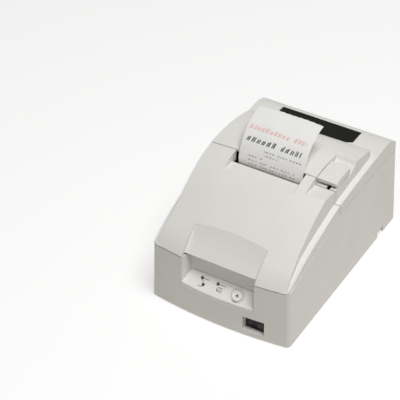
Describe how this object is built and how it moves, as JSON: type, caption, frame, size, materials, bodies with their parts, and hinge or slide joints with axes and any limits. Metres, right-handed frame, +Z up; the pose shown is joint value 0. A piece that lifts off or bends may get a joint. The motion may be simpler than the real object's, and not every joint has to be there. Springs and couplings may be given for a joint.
{
  "type": "dot matrix receipt printer",
  "caption": "Compact off-white impact receipt printer with a front cover, a roll cover opened by a side lever, and a paper strip in its slot.",
  "frame": {"origin": "on the resting surface, under the middle of the object's bounding box", "axes": "+X to the right seen from the front, +Y towards the back, +Z up"},
  "size_m": [0.1654, 0.2524, 0.1687],
  "materials": {
    "case": "fine grained moulding, warm off-white",
    "white_panel": "smooth satin white",
    "dark_plastic": "dark grey moulding",
    "black_plastic": "black, lightly grained",
    "smoke": "smoked, nearly black, glossy",
    "led": "dark unlit lens",
    "rubber": "matt black",
    "steel": "ground steel",
    "sheet": "zinc coated sheet",
    "head": "black die cast, satin",
    "motor": "black can",
    "white_gear": "natural acetal",
    "brass": "cut brass",
    "ribbon": "inked woven ribbon",
    "paper": "smooth bond paper",
    "card": "wound grey-brown card",
    "board": "green solder mask"
  },
  "bodies": {
    "base": {"lower_case": "case", "base_plate": "dark_plastic", "feet": "rubber", "case_screws": "steel", "switch_cover": "dark_plastic", "control_panel": "white_panel", "panel_board": "board", "led_lenses": "led", "switch_body": "black_plastic", "front_hinge_pins": "steel", "rear_hinge_pins": "steel", "latch_pin": "steel", "mech_frame": "sheet", "guide_shaft": "steel", "support_rail": "sheet", "carriage_motor": "motor", "pulley_post": "steel", "carriage_belt": "rubber", "feed_motor": "motor", "gear_post": "steel", "ribbon_cassette": "black_plastic", "ink_ribbon": "ribbon", "paper_hopper": "dark_plastic", "paper_web": "paper", "main_board": "board", "board_parts": "black_plastic", "interface_plate": "sheet", "interface_socket": "sheet", "plate_screws": "steel", "dc_inlet": "black_plastic", "drawer_jack": "black_plastic"},
    "front_cover": {"front_cover": "case", "tear_bar": "steel"},
    "roll_cover": {"roll_cover": "case", "roll_window": "smoke", "platen_holder": "dark_plastic", "platen": "rubber", "lever_pin": "steel", "paper_strip": "paper"},
    "cover_lever": {"cover_lever": "case", "lever_hook": "dark_plastic"},
    "pressure_roller": {"pressure_shaft": "steel", "pressure_rollers": "rubber"},
    "feed_roller": {"feed_shaft": "steel", "feed_rollers": "rubber", "feed_gear": "white_gear"},
    "idler_gear": {"idler_gear": "white_gear"},
    "motor_pinion": {"motor_pinion": "brass"},
    "carriage": {"carriage": "dark_plastic", "print_head": "head"},
    "drive_pulley": {"drive_pulley": "white_gear"},
    "idler_pulley": {"idler_pulley": "white_gear"},
    "ribbon_knob": {"ribbon_knob": "dark_plastic"},
    "paper_roll": {"paper_roll": "paper", "roll_core": "card"},
    "feed_button": {"feed_button": "white_panel"},
    "power_rocker": {"power_rocker": "black_plastic"}
  },
  "joints": [
    {"name": "front_cover_hinge", "type": "hinge", "parent": "base", "child": "front_cover", "pos_m": [0, -0.11529, 0.053], "axis": [1, 0, 0], "range_deg": [0, 92]},
    {"name": "roll_cover_hinge", "type": "hinge", "parent": "base", "child": "roll_cover", "pos_m": [0, 0.1175, 0.075], "axis": [-1, 0, 0], "range_deg": [0, 85]},
    {"name": "lever_hinge", "type": "hinge", "parent": "roll_cover", "child": "cover_lever", "pos_m": [0.0625, 0.0195, 0.1315], "axis": [-1, 0, 0], "range_deg": [0, 16], "stiffness_Nm_per_rad": 0.15, "springref_deg": -4.01},
    {"name": "pressure_roller_spin", "type": "hinge", "parent": "roll_cover", "child": "pressure_roller", "pos_m": [0, -0.00855, 0.078], "axis": [1, 0, 0], "continuous": true},
    {"name": "feed_roller_spin", "type": "hinge", "parent": "base", "child": "feed_roller", "pos_m": [0, -0.01995, 0.078], "axis": [1, 0, 0], "continuous": true},
    {"name": "idler_gear_spin", "type": "hinge", "parent": "base", "child": "idler_gear", "pos_m": [-0.067, -0.00286, 0.06903], "axis": [1, 0, 0], "continuous": true},
    {"name": "motor_pinion_spin", "type": "hinge", "parent": "base", "child": "motor_pinion", "pos_m": [-0.067, 0.00873, 0.06337], "axis": [1, 0, 0], "continuous": true},
    {"name": "carriage_slide", "type": "slide", "parent": "base", "child": "carriage", "axis": [1, 0, 0], "range_m": [-0.028, 0.028]},
    {"name": "drive_pulley_spin", "type": "hinge", "parent": "base", "child": "drive_pulley", "pos_m": [0.0475, -0.044, 0.063], "axis": [0, 0, 1], "range_deg": [-270, 270]},
    {"name": "idler_pulley_spin", "type": "hinge", "parent": "base", "child": "idler_pulley", "pos_m": [-0.0525, -0.044, 0.063], "axis": [0, 0, 1], "range_deg": [-270, 270]},
    {"name": "ribbon_knob_turn", "type": "hinge", "parent": "base", "child": "ribbon_knob", "pos_m": [-0.0405, -0.061, 0.105], "axis": [0, -0.5369, 0.8437], "continuous": true},
    {"name": "paper_roll_spin", "type": "hinge", "parent": "base", "child": "paper_roll", "pos_m": [-0.0025, 0.07, 0.0638], "axis": [1, 0, 0], "continuous": true},
    {"name": "feed_button_press", "type": "slide", "parent": "base", "child": "feed_button", "axis": [0, 0.6317, -0.7752], "range_m": [0, 0.001], "stiffness_N_per_m": 800},
    {"name": "power_rocker_tilt", "type": "hinge", "parent": "base", "child": "power_rocker", "pos_m": [0.0425, -0.11547, 0.0152], "axis": [0, 0, 1], "range_deg": [-7, 7]}
  ],
  "couplings": [
    {"joint": "idler_gear_spin", "follows": "feed_roller_spin", "ratio": -1.4},
    {"joint": "motor_pinion_spin", "follows": "feed_roller_spin", "ratio": 2.3333},
    {"joint": "drive_pulley_spin", "follows": "carriage_slide", "rad_per_m": -166.67},
    {"joint": "idler_pulley_spin", "follows": "carriage_slide", "rad_per_m": -166.67}
  ]
}
